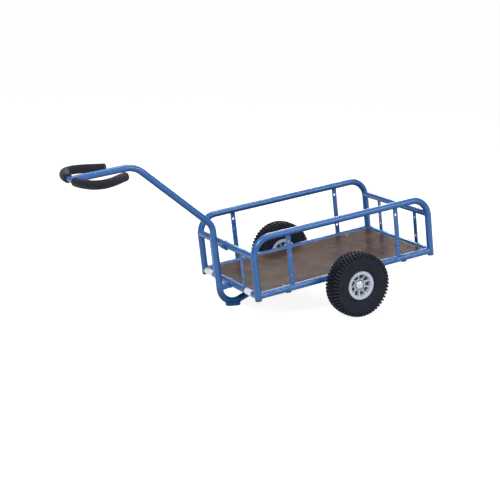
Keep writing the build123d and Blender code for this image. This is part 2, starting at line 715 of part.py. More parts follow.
# push-on dome cap that holds the wheel on the axle
with BuildPart() as left_axle_cap:
    with BuildSketch(section):
        with BuildLine():
            Polyline((15.2, axle_r + 0.05), (15.2, 17.2), (17.4, 17.2), (19.6, 16.2), (21.9, 13.8), (23.8, 10.2),
                     (24.9, 5.6), (25.3, 0), (24.1, 0), (23.7, 5.2), (22.7, 9.4), (21.0, 12.8), (19.0, 15.0),
                     (16.6, 15.4), (16.6, axle_r + 0.05), (15.2, axle_r + 0.05))
        make_face()
    revolve(axis=wheel_axis)


def flip(part):
    """The same piece on the cart's right side."""
    with BuildPart() as other:
        mirror(part, about=Plane.XZ)
    return other.part


pieces = {
    "left_side_hoop": left_side_hoop.part,
    "right_side_hoop": flip(left_side_hoop.part),
    "left_bottom_rail": left_bottom_rail.part,
    "right_bottom_rail": flip(left_bottom_rail.part),
    "front_bottom_beam": front_bottom_beam.part,
    "rear_bottom_beam": rear_bottom_beam.part,
    "front_top_rail": front_top_rail.part,
    "rear_top_rail": rear_top_rail.part,
    "left_front_post": left_front_post.part,
    "left_rear_post": left_rear_post.part,
    "right_front_post": flip(left_front_post.part),
    "right_rear_post": flip(left_rear_post.part),
    "front_left_post": front_left_post.part,
    "front_right_post": flip(front_left_post.part),
    "rear_left_post": rear_left_post.part,
    "rear_right_post": flip(rear_left_post.part),
    "deck_panel": deck_panel.part,
    "front_deck_strip": front_deck_strip.part,
    "rear_deck_strip": rear_deck_strip.part,
    "deck_screws": deck_screws.part,
    "left_axle_plate": left_axle_plate.part,
    "right_axle_plate": flip(left_axle_plate.part),
    "axle": axle.part,
    "axle_spacers": axle_spacers.part,
    "drawbar_tube": drawbar_tube.part,
    "drawbar_anchor": drawbar_anchor.part,
    "drawbar_end_plug": drawbar_end_plug.part,
    "anchor_bolt": anchor_bolt.part,
    "anchor_nut": anchor_nut.part,
    "upper_drawbar_bracket": upper_drawbar_bracket.part,
    "lower_drawbar_bracket": lower_drawbar_bracket.part,
    "bracket_bolts": bracket_bolts.part,
    "bracket_nuts": bracket_nuts.part,
    "parking_foot": parking_foot.part,
    "handle_bow": handle_bow.part,
    "left_grip": left_grip.part,
    "right_grip": right_grip.part,
    "leg_end_caps": leg_end_caps.part,
    "label_plates": label_plates.part,
}
wheel_set = {
    "tyre": left_tyre.part,
    "inner_tube": left_inner_tube.part,
    "rim_outer": left_rim_outer.part,
    "rim_inner": left_rim_inner.part,
    "rim_screws": left_rim_screws.part,
    "roller_cage": left_roller_cage.part,
    "rollers": left_rollers.part,
    "hub_washers": left_hub_washers.part,
    "axle_cap": left_axle_cap.part,
}
for name, part in wheel_set.items():
    pieces["left_" + name] = part
    pieces["right_" + name] = flip(part)

lo = [min(tuple(p.bounding_box().min)[i] for p in pieces.values()) for i in range(3)]
hi = [max(tuple(p.bounding_box().max)[i] for p in pieces.values()) for i in range(3)]
print("nodes", len(pieces), "box", [round(v, 2) for v in lo], [round(v, 2) for v in hi],
      "x centre", round((lo[0] + hi[0]) / 2, 3))
for name, part in pieces.items():
    part.label = name
    export_step(part, "parts/" + name + ".step")
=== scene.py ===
import json
import math

import bpy
import bmesh
import numpy as np
from mathutils import Matrix, Vector

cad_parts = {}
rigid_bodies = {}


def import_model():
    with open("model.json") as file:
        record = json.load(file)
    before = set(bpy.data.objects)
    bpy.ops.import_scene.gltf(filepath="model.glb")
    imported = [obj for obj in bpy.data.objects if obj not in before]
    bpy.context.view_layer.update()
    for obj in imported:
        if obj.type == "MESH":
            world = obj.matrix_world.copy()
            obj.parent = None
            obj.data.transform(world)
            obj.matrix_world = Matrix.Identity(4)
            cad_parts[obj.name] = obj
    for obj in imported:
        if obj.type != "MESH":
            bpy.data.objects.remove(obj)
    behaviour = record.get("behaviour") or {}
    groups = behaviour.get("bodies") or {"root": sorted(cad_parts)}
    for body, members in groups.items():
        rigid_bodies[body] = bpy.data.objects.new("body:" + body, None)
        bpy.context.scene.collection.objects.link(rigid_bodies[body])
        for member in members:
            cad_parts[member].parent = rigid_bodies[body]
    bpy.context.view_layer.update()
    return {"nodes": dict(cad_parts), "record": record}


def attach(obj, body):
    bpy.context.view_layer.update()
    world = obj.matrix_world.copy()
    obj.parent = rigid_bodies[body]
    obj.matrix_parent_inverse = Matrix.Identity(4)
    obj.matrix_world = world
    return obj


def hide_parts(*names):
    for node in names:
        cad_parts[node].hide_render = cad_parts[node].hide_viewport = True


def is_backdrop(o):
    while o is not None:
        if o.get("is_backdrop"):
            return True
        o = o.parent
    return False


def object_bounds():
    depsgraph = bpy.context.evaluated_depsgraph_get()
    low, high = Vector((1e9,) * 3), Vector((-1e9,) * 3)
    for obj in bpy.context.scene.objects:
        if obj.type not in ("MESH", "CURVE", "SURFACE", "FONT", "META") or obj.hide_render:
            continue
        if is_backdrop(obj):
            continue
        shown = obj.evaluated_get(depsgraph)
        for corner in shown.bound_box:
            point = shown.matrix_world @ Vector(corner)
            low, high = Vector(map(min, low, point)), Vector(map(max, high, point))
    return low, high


for old in list(bpy.data.objects):
    bpy.data.objects.remove(old)

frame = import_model()
NODES = frame["nodes"]
scene = bpy.context.scene

# ---------------------------------------------------------------------------
# The cart is parked, leaning nose-down. Deck coordinates (mm): x to the rear,
# y to the right, z square to the deck with z = 0 on the bottom rails' axes.
# ---------------------------------------------------------------------------
LEAN = math.radians(8.95)
CL, SL = math.cos(LEAN), math.sin(LEAN)
X_SHIFT = 337.105
AXLE_X, AXLE_Z, WHEEL_R = -3.5, -28.2, 130.0
Z_SHIFT = WHEEL_R - (AXLE_X * SL + AXLE_Z * CL)
TRACK = 318.9
TUBE_R = 13.45
LEG_X, LEG_Y = 402.7, 239.65
SIDE_TOP, END_TOP = 225.0, 158.0


def P(x, y, z):
    """Deck millimetres to the row frame, in metres."""
    return Vector(((x * CL - z * SL + X_SHIFT) / 1000, y / 1000, (x * SL + z * CL + Z_SHIFT) / 1000))


def V(x, y, z):
    """Deck direction to the row frame."""
    return Vector((x * CL - z * SL, y, x * SL + z * CL))


# -------------------------------------------------------------- materials ---
def srgb(r, g, b):
    out = []
    for c in (r, g, b):
        c = c / 255
        out.append(c / 12.92 if c <= 0.04045 else ((c + 0.055) / 1.055) ** 2.4)
    return (*out, 1.0)


class Mat:
    """A node material with a Principled shader and small helpers."""

    def __init__(self, name, **sockets):
        self.m = bpy.data.materials.new(name)
        self.m.use_nodes = True
        self.t = self.m.node_tree
        self.b = next(n for n in self.t.nodes if n.type == "BSDF_PRINCIPLED")
        for k, v in sockets.items():
            self.b.inputs[k.replace("_", " ")].default_value = v
        self.coord = self.t.nodes.new("ShaderNodeTexCoord").outputs["Object"]

    def link(self, a, b):
        self.t.links.new(a, b)

    def mapping(self, rotation=(0, 0, 0), scale=(1, 1, 1), location=(0, 0, 0)):
        n = self.t.nodes.new("ShaderNodeMapping")
        n.inputs["Rotation"].default_value = rotation
        n.inputs["Scale"].default_value = scale
        n.inputs["Location"].default_value = location
        self.link(self.coord, n.inputs["Vector"])
        return n.outputs["Vector"]

    def noise(self, scale, detail=4.0, rough=0.55, vector=None, distortion=0.0):
        n = self.t.nodes.new("ShaderNodeTexNoise")
        n.inputs["Scale"].default_value = scale
        n.inputs["Detail"].default_value = detail
        n.inputs["Roughness"].default_value = rough
        n.inputs["Distortion"].default_value = distortion
        self.link(vector or self.coord, n.inputs["Vector"])
        return n.outputs["Fac"]

    def voronoi(self, scale, vector=None, feature="F1", rand=1.0):
        n = self.t.nodes.new("ShaderNodeTexVoronoi")
        n.feature = feature
        n.inputs["Scale"].default_value = scale
        n.inputs["Randomness"].default_value = rand
        self.link(vector or self.coord, n.inputs["Vector"])
        return n.outputs["Distance"]

    def ramp(self, fac, *stops, interp="LINEAR"):
        n = self.t.nodes.new("ShaderNodeValToRGB")
        n.color_ramp.interpolation = interp
        el = n.color_ramp.elements
        while len(el) < len(stops):
            el.new(0.5)
        for e, (p, c) in zip(el, stops):
            e.position = p
            e.color = c if len(c) == 4 else (*c, 1.0)
        self.link(fac, n.inputs["Fac"])
        return n.outputs["Color"]

    def math(self, op, a, b=None, clamp=False):
        n = self.t.nodes.new("ShaderNodeMath")
        n.operation = op
        n.use_clamp = clamp
        for i, v in enumerate((a, b)):
            if v is None:
                continue
            if isinstance(v, (int, float)):
                n.inputs[i].default_value = v
            else:
                self.link(v, n.inputs[i])
        return n.outputs[0]

    def span(self, value, a0, a1, b0, b1, clamp=True):
        n = self.t.nodes.new("ShaderNodeMapRange")
        n.clamp = clamp
        for k, v in zip(("From Min", "From Max", "To Min", "To Max"), (a0, a1, b0, b1)):
            n.inputs[k].default_value = v
        self.link(value, n.inputs["Value"])
        return n.outputs["Result"]

    def mix(self, fac, a, b, blend="MIX"):
        n = self.t.nodes.new("ShaderNodeMix")
        n.data_type = "RGBA"
        n.blend_type = blend
        for k, v in ((0, fac), (6, a), (7, b)):
            if isinstance(v, (int, float, tuple, list)):
                n.inputs[k].default_value = v
            else:
                self.link(v, n.inputs[k])
        return n.outputs[2]

    def pointy(self):
        return self.t.nodes.new("ShaderNodeNewGeometry").outputs["Pointiness"]

    def normal(self):
        return self.t.nodes.new("ShaderNodeNewGeometry").outputs["Normal"]

    def separate(self, vector):
        n = self.t.nodes.new("ShaderNodeSeparateXYZ")
        self.link(vector, n.inputs[0])
        return n.outputs

    def bump(self, height, strength, distance, below=None):
        n = self.t.nodes.new("ShaderNodeBump")
        n.inputs["Strength"].default_value = strength
        n.inputs["Distance"].default_value = distance
        self.link(height, n.inputs["Height"])
        if below is not None:
            self.link(below, n.inputs["Normal"])
        return n.outputs["Normal"]

    def color(self, out):
        self.link(out, self.b.inputs["Base Color"])

    def rough(self, out):
        self.link(out, self.b.inputs["Roughness"])

    def norm(self, out):
        self.link(out, self.b.inputs["Normal"])


def blue_paint():
    k = Mat("blue_paint", IOR=1.42, Coat_Roughness=0.16, Coat_IOR=1.45)
    tone = k.noise(7.0, 3.0)
    base = k.ramp(tone, (0.30, BLUE_LO), (0.70, BLUE_HI))
    fine = k.noise(260.0, 2.0)
    base = k.mix(k.span(fine, 0.35, 0.65, 0.0, 0.06), base, (0.06, 0.20, 0.46, 1))
    # thin bright line where paint has rubbed off an edge
    wear = k.math("MULTIPLY", k.span(k.pointy(), 0.560, 0.64, 0.0, 1.0), k.span(k.noise(55.0, 5.0, 0.7), 0.52, 0.72, 0.0, 0.55))
    base = k.mix(wear, base, (0.16, 0.28, 0.50, 1))
    # painted shade: a darker blue on the faces turned to the floor
    down = k.span(k.separate(k.normal())[2], -0.80, 0.05, 0.80, 0.0)
    base = k.mix(down, base, (0.003, 0.025, 0.082, 1))
    # painted shade: a darker blue near the floor
    low = k.span(k.separate(k.coord)[2], 0.020, 0.095, 0.60, 0.0)
    base = k.mix(low, base, (0.0035, 0.031, 0.100, 1))
    # the same painted shade also takes their specular and coat away
    painted_shade = k.math("MAXIMUM", down, k.math("MULTIPLY", low, 1.2), clamp=True)
    k.link(k.span(painted_shade, 0.0, 0.75, 0.5, 0.10), k.b.inputs["Specular IOR Level"])
    k.link(k.span(painted_shade, 0.0, 0.75, 0.32, 0.02), k.b.inputs["Coat Weight"])
    k.color(base)
    k.rough(k.math("ADD", k.span(k.noise(34.0, 4.0), 0.3, 0.7, 0.27, 0.37), k.span(k.noise(900.0, 1.0), 0.3, 0.7, -0.02, 0.02)))
    peel = k.bump(k.noise(420.0, 2.0, 0.5), 0.10, 0.0004)
    k.norm(k.bump(k.noise(1500.0, 2.0, 0.5), 0.05, 0.0002, peel))
    return k.m


BLUE_LO = (0.0066, 0.062, 0.205, 1)
BLUE_HI = (0.0092, 0.077, 0.245, 1)


def weld_paint():
    """The same paint over weld seams: a little rougher and pooled."""
    k = Mat("weld_paint", IOR=1.5, Coat_Weight=0.4, Coat_Roughness=0.15)
    k.color(k.ramp(k.noise(60.0, 3.0), (0.3, BLUE_LO), (0.7, (0.014, 0.085, 0.260, 1))))
    k.rough(k.span(k.noise(150.0, 4.0), 0.3, 0.7, 0.25, 0.42))
    k.norm(k.bump(k.noise(800.0, 3.0, 0.6), 0.25, 0.0006))
    return k.m


def deck_film():
    """Film-faced plywood: brown phenolic film, bare laminated edges."""
    k = Mat("deck_film", IOR=1.135)
    deck = k.mapping(rotation=(0, LEAN, 0))
    along = k.t.nodes.new("ShaderNodeMapping")
    along.inputs["Rotation"].default_value = (0, LEAN, 0)
    along.inputs["Scale"].default_value = (2.2, 22.0, 22.0)
    k.link(k.coord, along.inputs["Vector"])
    streak = k.noise(1.0, 7.0, 0.62, along.outputs["Vector"], 0.4)
    cloud = k.noise(9.0, 5.0, 0.6, deck, 0.5)
    both = k.math("ADD", k.math("MULTIPLY", streak, 0.55), k.math("MULTIPLY", cloud, 0.45))
    film = k.ramp(both, (0.30, DECK_LO), (0.52, DECK_MID), (0.72, DECK_HI))
    speck = k.noise(700.0, 2.0)
    film = k.mix(k.span(speck, 0.56, 0.74, 0.0, 0.28), film, (0.092, 0.060, 0.046, 1))
    # faint scuffs from loads
    scr_map = k.t.nodes.new("ShaderNodeMapping")
    scr_map.inputs["Rotation"].default_value = (0, LEAN, 0.5)
    scr_map.inputs["Scale"].default_value = (6.0, 160.0, 1.0)
    k.link(k.coord, scr_map.inputs["Vector"])
    scr = k.math("MULTIPLY", k.span(k.noise(1.0, 6.0, 0.75, scr_map.outputs["Vector"], 0.2), 0.64, 0.74, 0.0, 1.0), k.span(k.noise(5.0, 3.0), 0.45, 0.62, 0.0, 0.35))
    film = k.mix(scr, film, (0.094, 0.066, 0.052, 1))
    # laminated edge: plies along the deck's thickness
    out = k.t.nodes.new("ShaderNodeVectorRotate")
    out.rotation_type = "Y_AXIS"
    out.inputs["Angle"].default_value = LEAN
    k.link(k.coord, out.inputs["Vector"])
    z = k.separate(out.outputs["Vector"])[2]
    ply = k.math("SINE", k.math("MULTIPLY", z, 2 * math.pi / 0.0030))
    wood = k.mix(k.span(ply, -0.6, 0.6, 0.0, 1.0), (0.15, 0.082, 0.040, 1), (0.36, 0.235, 0.13, 1))
    grain = k.noise(180.0, 6.0, 0.7, k.mapping(scale=(0.25, 0.25, 6.0)))
    wood = k.mix(k.span(grain, 0.3, 0.7, 0.0, 0.5), wood, (0.20, 0.12, 0.065, 1))
    nrm = k.t.nodes.new("ShaderNodeVectorRotate")
    nrm.rotation_type = "Y_AXIS"
    nrm.inputs["Angle"].default_value = LEAN
    k.link(k.normal(), nrm.inputs["Vector"])
    up = k.math("ABSOLUTE", k.separate(nrm.outputs["Vector"])[2])
    face = k.span(up, 0.80, 0.95, 0.0, 1.0)
    k.color(k.mix(face, wood, film))
    rgh = k.math("ADD", k.span(k.noise(28.0, 5.0, 0.65), 0.3, 0.7, 0.13, 0.20), k.math("MULTIPLY", scr, 0.15))
    rgh = k.math("ADD", k.math("MULTIPLY", rgh, face), k.math("MULTIPLY", k.math("SUBTRACT", 1.0, face), 0.75))
    k.rough(rgh)
    k.norm(k.bump(k.noise(520.0, 3.0, 0.6), 0.05, 0.0003))
    return k.m


DECK_LO = (0.034, 0.0200, 0.0155, 1)
DECK_MID = (0.057, 0.0340, 0.0260, 1)
DECK_HI = (0.084, 0.0520, 0.0400, 1)


def tyre_rubber(name="tyre_rubber", deep=1.0):
    k = Mat(name, IOR=1.25)
    tone = k.noise(26.0, 5.0, 0.6)
    base = k.ramp(tone, (0.3, (0.0046, 0.0066, 0.0122, 1)), (0.7, (0.0074, 0.0102, 0.0182, 1)))
    dust = k.math("MULTIPLY", k.span(k.pointy(), 0.53, 0.62, 0.0, 1.0), k.span(k.noise(90.0, 5.0, 0.7), 0.42, 0.66, 0.1, 0.7))
    base = k.mix(dust, base, (0.021, 0.026, 0.036, 1))
    # painted shade: near black in the concave grooves
    low = k.span(k.pointy(), 0.40, 0.48, 0.65, 0.0)
    base = k.mix(low, base, (0.003, 0.003, 0.004, 1))
    # painted shade: a darker copy of the rubber for the tread's sunk base
    if deep < 1.0:
        base = k.mix(1.0 - deep, base, (0.0012, 0.0013, 0.0020, 1))
    k.color(base)
    k.rough(k.span(k.noise(60.0, 5.0, 0.65), 0.3, 0.7, 0.60, 0.78))
    grit = k.bump(k.noise(900.0, 3.0, 0.6), 0.22, 0.0004)
    k.norm(k.bump(k.noise(120.0, 3.0, 0.5), 0.06, 0.0008, grit))
    return k.m


def rim_plastic():
    k = Mat("rim_plastic", IOR=1.46)
    tone = k.noise(22.0, 4.0, 0.6, None, 0.6)
    base = k.ramp(tone, (0.3, (0.298, 0.328, 0.404, 1)), (0.7, (0.350, 0.384, 0.465, 1)))
    # painted shade: darker in concave creases, broken up by noise
    painted_shade = k.math("MULTIPLY", k.span(k.pointy(), 0.40, 0.49, 1.0, 0.0), k.span(k.noise(70.0, 5.0, 0.7), 0.3, 0.7, 0.25, 0.75))
    base = k.mix(painted_shade, base, (0.10, 0.11, 0.135, 1))
    # painted shade: the pockets are darker the deeper they are, and less so towards the outer ring
    pos = k.separate(k.coord)
    hub = P(AXLE_X, 0, AXLE_Z)
    dx, dz = k.math("SUBTRACT", pos[0], hub.x), k.math("SUBTRACT", pos[2], hub.z)
    rad = k.math("SQRT", k.math("ADD", k.math("MULTIPLY", dx, dx), k.math("MULTIPLY", dz, dz)))
    across = k.math("ABSOLUTE", k.math("SUBTRACT", k.math("ABSOLUTE", k.separate(k.coord)[1]), TRACK / 1000))
    deep = k.math("MULTIPLY", k.span(across, 0.0045, 0.0150, 1.0, 0.0), k.span(rad, 0.028, 0.042, 0.95, 0.45))
    base = k.mix(deep, base, (0.050, 0.056, 0.070, 1))
    wear = k.math("MULTIPLY", k.span(k.pointy(), 0.53, 0.60, 0.0, 1.0), k.span(k.noise(110.0, 4.0), 0.4, 0.7, 0.15, 0.7))
    base = k.mix(wear, base, (0.50, 0.53, 0.60, 1))
    k.color(base)
    k.rough(k.span(k.noise(80.0, 4.0, 0.6), 0.3, 0.7, 0.38, 0.52))
    k.norm(k.bump(k.noise(1400.0, 2.0, 0.6), 0.12, 0.0003))
    return k.m


def zinc(name, base_a, base_b, rough_a, rough_b):
    k = Mat(name, Metallic=1.0)
    spangle = k.voronoi(260.0)
    tone = k.math("ADD", k.math("MULTIPLY", spangle, 0.5), k.math("MULTIPLY", k.noise(140.0, 5.0, 0.65), 0.6))
    col = k.ramp(tone, (0.25, base_a), (0.75, base_b))
    stain = k.span(k.noise(60.0, 6.0, 0.7), 0.56, 0.72, 0.0, 0.4)
    col = k.mix(stain, col, (0.30, 0.29, 0.26, 1))
    k.color(col)
    k.rough(k.span(k.noise(300.0, 5.0, 0.7), 0.3, 0.7, rough_a, rough_b))
    k.norm(k.bump(k.noise(700.0, 3.0, 0.6), 0.10, 0.0003))
    return k.m


def cap_metal():
    k = Mat("cap_metal", Metallic=0.45, Coat_Weight=0.1)
    col = k.ramp(k.noise(90.0, 4.0, 0.6), (0.3, (0.40, 0.42, 0.46, 1)), (0.7, (0.51, 0.53, 0.575, 1)))
    rub = k.span(k.noise(420.0, 6.0, 0.75, k.mapping(scale=(1, 0.15, 1))), 0.60, 0.75, 0.0, 0.35)
    k.color(k.mix(rub, col, (0.55, 0.56, 0.58, 1)))
    k.rough(k.span(k.noise(160.0, 5.0, 0.65), 0.3, 0.7, 0.38, 0.52))
    k.norm(k.bump(k.noise(500.0, 3.0), 0.10, 0.0003))
    return k.m


def foam():
    """Closed-cell foam sleeve: fine open pores in a dark grey skin."""
    k = Mat("grip_foam", IOR=1.24, Sheen_Weight=0.15, Sheen_Roughness=0.45, Sheen_Tint=(0.42, 0.45, 0.55, 1))
    pores = k.voronoi(900.0)
    mid = k.noise(160.0, 5.0, 0.65)
    col = k.ramp(mid, (0.3, (0.0062, 0.0068, 0.0100, 1)), (0.7, (0.0102, 0.0110, 0.0158, 1)))
    # painted shade: darker inside the pores
    col = k.mix(k.span(pores, 0.0, 0.32, 0.75, 0.0), col, (0.006, 0.006, 0.006, 1))
    rub = k.math("MULTIPLY", k.span(k.noise(18.0, 4.0), 0.5, 0.68, 0.0, 0.4), k.span(k.noise(300.0, 3.0), 0.4, 0.6, 0.3, 1.0))
    col = k.mix(rub, col, (0.034, 0.034, 0.033, 1))
    k.color(col)
    k.rough(k.span(mid, 0.3, 0.7, 0.72, 0.90))
    skin = k.bump(pores, 0.45, 0.0006)
    k.norm(k.bump(k.noise(60.0, 4.0, 0.6), 0.25, 0.0015, skin))
    return k.m


def black_plastic(name="black_plastic"):
    k = Mat(name, IOR=1.48)
    col = k.ramp(k.noise(120.0, 4.0, 0.6), (0.3, (0.012, 0.012, 0.014, 1)), (0.7, (0.024, 0.024, 0.026, 1)))
    wear = k.math("MULTIPLY", k.span(k.pointy(), 0.53, 0.6, 0.0, 1.0), k.span(k.noise(200.0, 4.0), 0.4, 0.7, 0.1, 0.8))
    k.color(k.mix(wear, col, (0.08, 0.08, 0.085, 1)))
    k.rough(k.span(k.noise(220.0, 4.0), 0.3, 0.7, 0.40, 0.58))
    k.norm(k.bump(k.noise(1100.0, 2.0), 0.2, 0.0004))
    return k.m


def label_film():
    k = Mat("label_film", IOR=1.46, Coat_Weight=0.3, Coat_Roughness=0.1)
    col = k.ramp(k.noise(40.0, 4.0), (0.3, (0.47, 0.50, 0.55, 1)), (0.7, (0.57, 0.60, 0.66, 1)))
    grime = k.span(k.noise(160.0, 6.0, 0.75), 0.60, 0.76, 0.0, 0.28)
    k.color(k.mix(grime, col, (0.55, 0.55, 0.54, 1)))
    k.rough(k.span(k.noise(90.0, 4.0), 0.3, 0.7, 0.22, 0.36))
    k.norm(k.bump(k.noise(240.0, 3.0), 0.08, 0.0004))
    return k.m


def inner_rubber():
    k = Mat("tube_rubber", IOR=1.5)
    k.color(k.ramp(k.noise(80.0, 4.0), (0.3, (0.016, 0.016, 0.017, 1)), (0.7, (0.028, 0.028, 0.030, 1))))
    k.rough(k.span(k.noise(120.0, 4.0), 0.3, 0.7, 0.48, 0.66))
    k.norm(k.bump(k.noise(500.0, 3.0), 0.15, 0.0004))
    return k.m


M = {
    "blue": blue_paint(),
    "weld": weld_paint(),
    "deck": deck_film(),
    "tyre": tyre_rubber(),
    "tyre_groove": tyre_rubber("tyre_groove", 0.25),
    "screw": black_plastic("dark_screw"),
    "rim": rim_plastic(),
    "zinc": zinc("zinc_plate", (0.50, 0.50, 0.50, 1), (0.68, 0.68, 0.67, 1), 0.26, 0.42),
    "steel": zinc("bright_steel", (0.46, 0.46, 0.47, 1), (0.60, 0.60, 0.61, 1), 0.20, 0.34),
    "cap": cap_metal(),
    "foam": foam(),
    "black": black_plastic(),
    "label": label_film(),
    "tube": inner_rubber(),
}
SLOT_MAT = {
    "blue_powder_coat": "blue", "film_faced_plywood": "deck", "zinc_plated_steel": "zinc", "bright_cap": "cap",
    "grip_foam": "foam", "black_plastic": "black", "white_label": "label", "tyre_rubber": "tyre",
    "tube_rubber": "tube", "rim_plastic": "rim",
}
slot_of = {p["node"]: p["material_slot"] for p in frame["record"]["subparts"]}
for name, o in NODES.items():
    key = SLOT_MAT[slot_of[name]]
    if name.endswith("_rollers") or name == "axle":
        key = "steel"
    if name == "deck_screws":
        key = "screw"
    o.data.materials.clear()
    o.data.materials.append(M[key])


# ------------------------------------------------------------ mesh helpers ---
def make(name, verts, faces, mat, body, smooth=True, sharp=None):
    me = bpy.data.meshes.new(name)
    me.from_pydata([tuple(v) for v in verts], [], faces)
    me.validate()
    me.update()
    o = bpy.data.objects.new(name, me)
    scene.collection.objects.link(o)
    me.materials.append(M[mat])
    bm = bmesh.new()
    bm.from_mesh(me)
    bmesh.ops.recalc_face_normals(bm, faces=bm.faces)
    bm.to_mesh(me)
    bm.free()
    me.shade_smooth() if smooth else None
    if sharp is not None:
        me.set_sharp_from_angle(angle=math.radians(sharp))
    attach(o, body)
    return o


def frames_along(points, closed=False):
    """Tangent and a steady pair of normals at each point of a polyline."""
    n = len(points)
    tang = []
    for i in range(n):
        a = points[(i - 1) % n] if closed or i > 0 else points[i]
        b = points[(i + 1) % n] if closed or i < n - 1 else points[i]
        tang.append((b - a).normalized())
    ref = Vector((0, 0, 1)) if abs(tang[0].z) < 0.9 else Vector((1, 0, 0))
    u = (ref - tang[0] * ref.dot(tang[0])).normalized()
    out = []
    for t in tang:
        u = (u - t * u.dot(t)).normalized()
        out.append((t, u, t.cross(u)))
    return out


def tube(points, radii, seg=16, closed=False, caps=True):
    """Verts and faces of a tube along points with one radius per point."""
    fr = frames_along(points, closed)
    verts, faces = [], []
    for p, r, (t, u, v) in zip(points, radii, fr):
        for k in range(seg):
            a = 2 * math.pi * k / seg
            verts.append(p + (u * math.cos(a) + v * math.sin(a)) * r)
    n = len(points)
    last = n if closed else n - 1
    for i in range(last):
        j = (i + 1) % n
        for k in range(seg):
            m = (k + 1) % seg
            faces.append((i * seg + k, i * seg + m, j * seg + m, j * seg + k))
    if caps and not closed:
        faces.append(tuple(range(seg))[::-1])
        faces.append(tuple((n - 1) * seg + k for k in range(seg)))
    return verts, faces


def merge(parts):
    verts, faces = [], []
    for v, f in parts:
        base = len(verts)
        verts += list(v)
        faces += [tuple(i + base for i in q) for q in f]
    return verts, faces


# -------------------------------------------------------------------- tyre ---
# outer carcass, (w outboard, r): base of the tread grooves and the sidewall
TREAD = [(0.0, 130.0), (8.0, 129.9), (16.0, 129.5), (24.0, 128.7), (29.0, 127.8), (33.4, 125.9), (37.0, 122.7),
         (39.7, 118.0), (41.3, 112.0), (42.0, 106.0), (42.2, 100.0)]
GROOVE = 6.6


def spline_table(points, count):
    """Smooth resample of a polyline with its arc length, for the tread's crown."""
    pts = np.array(points)
    pts = np.vstack([pts[:0:-1] * [-1, 1], pts])
    d = np.r_[0, np.cumsum(np.hypot(*np.diff(pts, axis=0).T))]
    s = np.linspace(d[0], d[-1], count)
    from_s = np.stack([np.interp(s, d, pts[:, k]) for k in range(2)], 1)
    for _ in range(3):
        from_s[1:-1] = (from_s[:-2] + 2 * from_s[1:-1] + from_s[2:]) / 4
    s = s - s[-1] / 2
    t = np.gradient(from_s, axis=0)
    t /= np.linalg.norm(t, axis=1)[:, None]
    nrm = np.stack([-t[:, 1], t[:, 0]], 1)
    return s, from_s, nrm


CROWN_S, CROWN_P, CROWN_N = spline_table(TREAD, 121)


def crown(s, depth):
    """(w, r) on the tread's crown at arc length s from the middle, sunk by depth."""
    w = np.interp(s, CROWN_S, CROWN_P[:, 0]) - depth * np.interp(s, CROWN_S, CROWN_N[:, 0])
    r = np.interp(s, CROWN_S, CROWN_P[:, 1]) - depth * np.interp(s, CROWN_S, CROWN_N[:, 1])
    return w, r


S_END = float(CROWN_S[-1])
S_LUG = float(np.interp(-108.5, -CROWN_P[60:, 1], CROWN_S[60:]))   # the shoulder lugs fade out here


def groove(s):
    """Depth of the open tread at arc length s: full under the lugs, nothing on the sidewall."""
    t = min(max((abs(s) - (S_LUG - 7.0)) / 7.0, 0.0), 1.0)
    return GROOVE + (0.35 - GROOVE) * t * t * (3 - 2 * t)


def wheel_point(side, w, r, a):
    """Wheel coordinates to the row frame: w outboard, r from the axle, a from the rear towards the top."""
    c = P(AXLE_X, 0, AXLE_Z)
    return Vector((c.x + r * math.cos(a) / 1000, side * (TRACK + w) / 1000, c.z + r * math.sin(a) / 1000))


def tread_block(side, a0, pitch, corners, m, n, depth=GROOVE, top=0.0, draft=0.55, bevel=0.55):
    """One tread block. corners are (s, fraction of a pitch): s0-, s0+, s1+, s1- ."""
    def lerp(u, v):
        c = corners
        s = (c[0][0] * (1 - u) + c[3][0] * u) * (1 - v) + (c[1][0] * (1 - u) + c[2][0] * u) * v
        f = (c[0][1] * (1 - u) + c[3][1] * u) * (1 - v) + (c[1][1] * (1 - u) + c[2][1] * u) * v
        return s, f

    smax = max(abs(c[0]) for c in corners)
    ls = abs(corners[3][0] - corners[0][0])
    lf = abs(corners[1][1] - corners[0][1]) * pitch * 122
    us = [-draft / ls, 0, bevel / ls] + [k / m for k in range(1, m)] + [1 - bevel / ls, 1, 1 + draft / ls]
    vs = [-draft / lf, 0, bevel / lf] + [k / n for k in range(1, n)] + [1 - bevel / lf, 1, 1 + draft / lf]
    nu, nv = len(us), len(vs)
    verts, faces = [], []
    for i, u in enumerate(us):
        for j, v in enumerate(vs):
            edge = min(i, nu - 1 - i, j, nv - 1 - j)
            d = depth + 0.4 if edge == 0 else (0.55 if edge == 1 else 0.0)
            s, f = lerp(u, v)
            w, r = crown(s, d + top)
            verts.append(wheel_point(side, w, r, a0 + f * pitch))
    for i in range(nu - 1):
        for j in range(nv - 1):
            a = i * nv + j
            faces.append((a, a + 1, a + nv + 1, a + nv))
    return verts, faces


LUGS = 54


